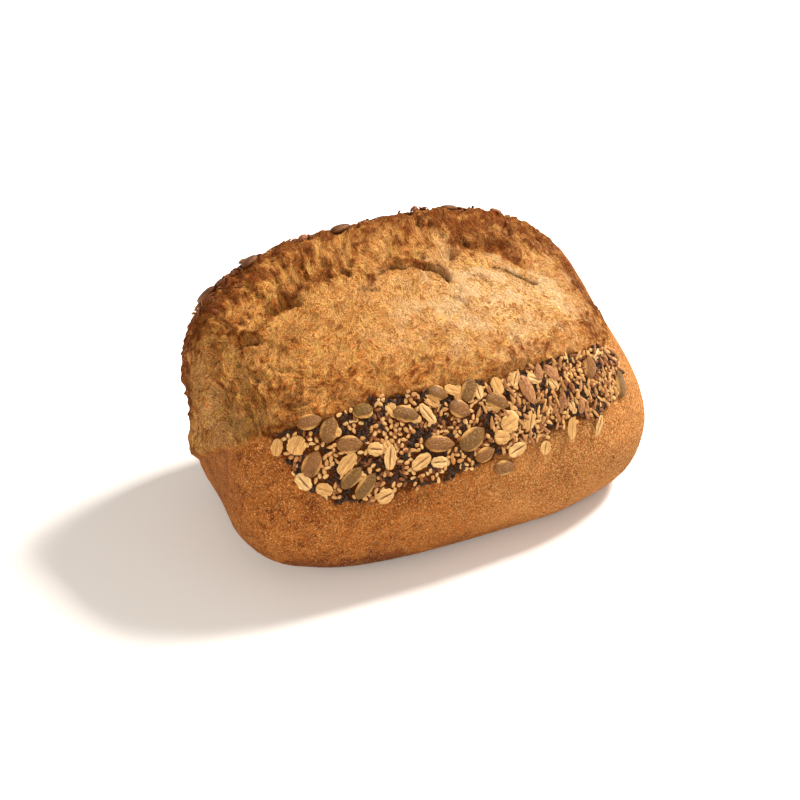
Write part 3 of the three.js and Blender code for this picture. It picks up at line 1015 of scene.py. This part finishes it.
# Where no large seed lies, within a small margin round each.
SEED_MARGIN, SEED_REACH = 0.2, 6
clear = np.ones(len(crust))
for middle, long, wide, up, length, width in pumpkin_lies + sunflower_lies + oat_lies:
    off = crust - middle
    lengthwise = (off @ long) / (length / 2 + SEED_MARGIN)
    crosswise = (off @ wide) / (width / 2 + SEED_MARGIN)
    under = (lengthwise ** 2 + crosswise ** 2 < 1) & (np.abs(off @ up) < SEED_REACH)
    clear[under] = 0

# How thickly each kind is sown. Black seeds lie in clumps, and sesame mostly between them. Brown
# seeds also stick to the ridge of the ear, and the long split grains lie on the right.
clumps = lumps(crust, 6.0, 2, 51.0)
right_end = ramp(along, 0, 55)
black_clump = ramp(clumps, 0.02, 0.24) * clear
brown_clump = ramp(lumps(crust, 7.0, 2, 61.0), -0.12, 0.2) * clear
on_ridge = bell(from_ear + 3, 6.0) * ramp(height, 92, 104) * ramp(-along, -66, -52)
front_brown = front_band * brown_clump * (0.6 + 0.4 * right_end)
for key, values in (
    ("sesame_sown", (front_band * (1 - 0.9 * ramp(clumps, -0.04, 0.20)) + rear_band * 0.8) * clear),
    ("black_sown", front_band * black_clump + rear_band * black_clump * 0.7),
    ("brown_sown", front_brown + (rear_band + on_ridge) * brown_clump * 0.6),
    ("long_sown", front_band * clear * ramp(along, -15, 20)),
):
    layer = baked_body.data.attributes.new(key, "FLOAT", "POINT")
    layer.data.foreach_set("value", values.astype(np.float32))

strew, given = new_group("strew_seeds", "GeometryNodeTree", (
    ("Crust", "Geometry"), ("Where", "String"), ("Spacing", "Float"), ("Length", "Float"),
    ("Width", "Float"), ("Thickness", "Float"), ("Lift", "Float"), ("Tilt", "Float"),
    ("Spin", "Float"), ("Seed", "Int"), ("Coat", "Material"),
), ("Seeds", "Geometry"))

# Seeds stick where they were sown, some of them on top of others.
sown_here = place_node(strew, "GeometryNodeInputNamedAttribute", {
    "Name": given["Where"],
}, data_type="FLOAT")
points = place_node(strew, "GeometryNodeDistributePointsOnFaces", {
    "Mesh": given["Crust"], "Distance Min": given["Spacing"], "Density Max": 2.0e6,
    "Density Factor": sown_here.outputs["Attribute"], "Seed": given["Seed"],
}, distribute_method="POISSON")
height_off = place_node(strew, "FunctionNodeRandomValue", {
    2: 0.4, 3: 1.6, "Seed": given["Seed"],
}, data_type="FLOAT")
off = place_node(strew, "ShaderNodeVectorMath", {
    0: points.outputs["Normal"], "Scale": share_of(strew, given["Lift"], height_off.outputs[1]),
}, operation="SCALE")
raised = place_node(strew, "GeometryNodeSetPosition", {
    "Geometry": points.outputs["Points"], "Offset": off.outputs["Vector"],
})

# One seed: a small ball that tapers to one end like a drop, scaled to the kind's three sizes.
ball = place_node(strew, "GeometryNodeMeshUVSphere", {"Segments": 8, "Rings": 6, "Radius": 0.5})
spot = place_node(strew, "GeometryNodeInputPosition").outputs["Position"]
spot_parts = place_node(strew, "ShaderNodeSeparateXYZ", {"Vector": spot}).outputs
taper = place_node(strew, "ShaderNodeMath", {
    0: spot_parts["Z"], 1: -0.55, 2: 0.95,
}, operation="MULTIPLY_ADD").outputs[0]
drop = place_node(strew, "ShaderNodeCombineXYZ", {
    "X": share_of(strew, spot_parts["X"], taper), "Y": spot_parts["Z"],
    "Z": share_of(strew, spot_parts["Y"], taper),
})
turned_ball = place_node(strew, "GeometryNodeSetPosition", {
    "Geometry": ball.outputs["Mesh"], "Position": drop.outputs["Vector"],
})
sides = place_node(strew, "ShaderNodeCombineXYZ", {
    "X": given["Width"], "Y": given["Length"], "Z": given["Thickness"],
})
seed_body = place_node(strew, "GeometryNodeTransform", {
    "Geometry": turned_ball.outputs["Geometry"], "Scale": sides.outputs["Vector"],
})
outward_seed = place_node(strew, "GeometryNodeFlipFaces", {"Mesh": seed_body.outputs["Geometry"]})
smooth_seed = place_node(strew, "GeometryNodeSetShadeSmooth", {
    "Geometry": outward_seed.outputs["Mesh"],
})

# Each one tilts and turns its own way on the crust, and differs a little in size and tone.
most = place_node(strew, "ShaderNodeCombineXYZ", {
    "X": given["Tilt"], "Y": given["Tilt"], "Z": given["Spin"],
})
least = place_node(strew, "ShaderNodeVectorMath", {
    0: most.outputs["Vector"], "Scale": -1.0,
}, operation="SCALE")
swing = place_node(strew, "FunctionNodeRandomValue", {
    0: least.outputs["Vector"], 1: most.outputs["Vector"], "Seed": given["Seed"],
}, data_type="FLOAT_VECTOR")
swing_turn = place_node(strew, "FunctionNodeEulerToRotation", {"Euler": swing.outputs[0]})
way = place_node(strew, "FunctionNodeRotateRotation", {
    "Rotation": points.outputs["Rotation"], "Rotate By": swing_turn.outputs["Rotation"],
}, rotation_space="LOCAL")
grown = place_node(strew, "FunctionNodeRandomValue", {
    0: (0.8, 0.8, 0.8), 1: (1.15, 1.2, 1.15), "Seed": given["Seed"],
}, data_type="FLOAT_VECTOR")
strewn = place_node(strew, "GeometryNodeInstanceOnPoints", {
    "Points": raised.outputs["Geometry"], "Instance": smooth_seed.outputs["Geometry"],
    "Rotation": way.outputs["Rotation"], "Scale": grown.outputs[0],
})
tone_of = place_node(strew, "FunctionNodeRandomValue", {
    2: 0.0, 3: 1.0, "Seed": given["Seed"],
}, data_type="FLOAT")
toned = place_node(strew, "GeometryNodeStoreNamedAttribute", {
    "Geometry": strewn.outputs["Instances"], "Name": "tone", "Value": tone_of.outputs[1],
}, data_type="FLOAT", domain="INSTANCE")
real = place_node(strew, "GeometryNodeRealizeInstances", {"Geometry": toned.outputs["Geometry"]})
coated = place_node(strew, "GeometryNodeSetMaterial", {
    "Geometry": real.outputs["Geometry"], "Material": given["Coat"],
})
place_node(strew, "NodeGroupOutput", {"Seeds": coated.outputs["Geometry"]})


def strew_seeds(name, slot, **inputs):
    """One piece of all the seeds of a kind, strewn on the baked crust."""
    host = bpy.data.objects.new(name + "_host", baked_body.data)
    bpy.context.collection.objects.link(host)
    modifier = host.modifiers.new("strew", "NODES")
    modifier.node_group = strew
    sockets = {item.name: item.identifier for item in strew.interface.items_tree}
    for key, value in inputs.items():
        modifier[sockets[key]] = value
    graph = bpy.context.evaluated_depsgraph_get()
    mesh = bpy.data.meshes.new_from_object(host.evaluated_get(graph), depsgraph=graph)
    mesh.name = name
    bpy.data.objects.remove(host)
    piece = bpy.data.objects.new(name, mesh)
    bpy.context.collection.objects.link(piece)
    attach(piece, "root")


def seed_material(name, pale, dark, speck, browned, roughness, speck_share):
    """The coat of a small seed: a tone between pale and dark, with a share of fine specks."""
    material, tree, surface = new_material(name)
    place = place_node(tree, "ShaderNodeTexCoord").outputs["Object"]
    fine = add_mottle(tree, place, 0.9, 0.45, 0.68)
    tone = read_attribute(tree, "tone")
    coat = lay_colours(tree, pale, (tone, 1.0, dark), (fine, speck_share, speck))
    fill_inputs(tree, surface, {
        "Base Color": brown_on_crown(tree, place, coat, browned), "Roughness": roughness,
        "Specular IOR Level": 0.12, "Normal": add_bump(tree, fine, strength=0.4, depth=0.12),
    })
    return material


sesame_coat = seed_material(
    "sesame_coat", (0.60, 0.37, 0.15, 1), (0.36, 0.165, 0.05, 1), (0.30, 0.11, 0.030, 1),
    (0.28, 0.10, 0.03, 1), 0.5, 0.35,
)
black_coat = seed_material(
    "black_coat", (0.014, 0.008, 0.005, 1), (0.034, 0.016, 0.009, 1), (0.07, 0.036, 0.020, 1),
    (0.03, 0.012, 0.008, 1), 0.6, 0.3,
)
brown_coat = seed_material(
    "brown_coat", (0.075, 0.020, 0.006, 1), (0.22, 0.078, 0.022, 1), (0.03, 0.010, 0.004, 1),
    (0.13, 0.036, 0.010, 1), 0.4, 0.3,
)
grain_coat = seed_material(
    "grain_coat", (0.62, 0.36, 0.12, 1), (0.24, 0.09, 0.036, 1), (0.15, 0.055, 0.02, 1),
    (0.20, 0.065, 0.02, 1), 0.6, 0.4,
)

strew_seeds(
    "sesame_seeds", "oat_flake", Where="sesame_sown", Spacing=2.15 * MM, Length=3.0 * MM,
    Width=2.0 * MM, Thickness=1.15 * MM, Lift=0.65 * MM, Tilt=0.5, Spin=3.14, Seed=3, Coat=sesame_coat,
)
strew_seeds(
    "black_seeds", "pumpkin_kernel", Where="black_sown", Spacing=1.35 * MM, Length=2.8 * MM,
    Width=1.6 * MM, Thickness=1.1 * MM, Lift=0.6 * MM, Tilt=0.5, Spin=3.14, Seed=5, Coat=black_coat,
)
strew_seeds(
    "brown_seeds", "pumpkin_kernel", Where="brown_sown", Spacing=1.7 * MM, Length=3.4 * MM,
    Width=1.8 * MM, Thickness=1.1 * MM, Lift=0.7 * MM, Tilt=0.4, Spin=3.14, Seed=7, Coat=brown_coat,
)
strew_seeds(
    "split_grains", "sunflower_kernel", Where="long_sown", Spacing=3.6 * MM, Length=5.2 * MM,
    Width=1.7 * MM, Thickness=1.3 * MM, Lift=0.9 * MM, Tilt=0.25, Spin=0.7, Seed=9, Coat=grain_coat,
)
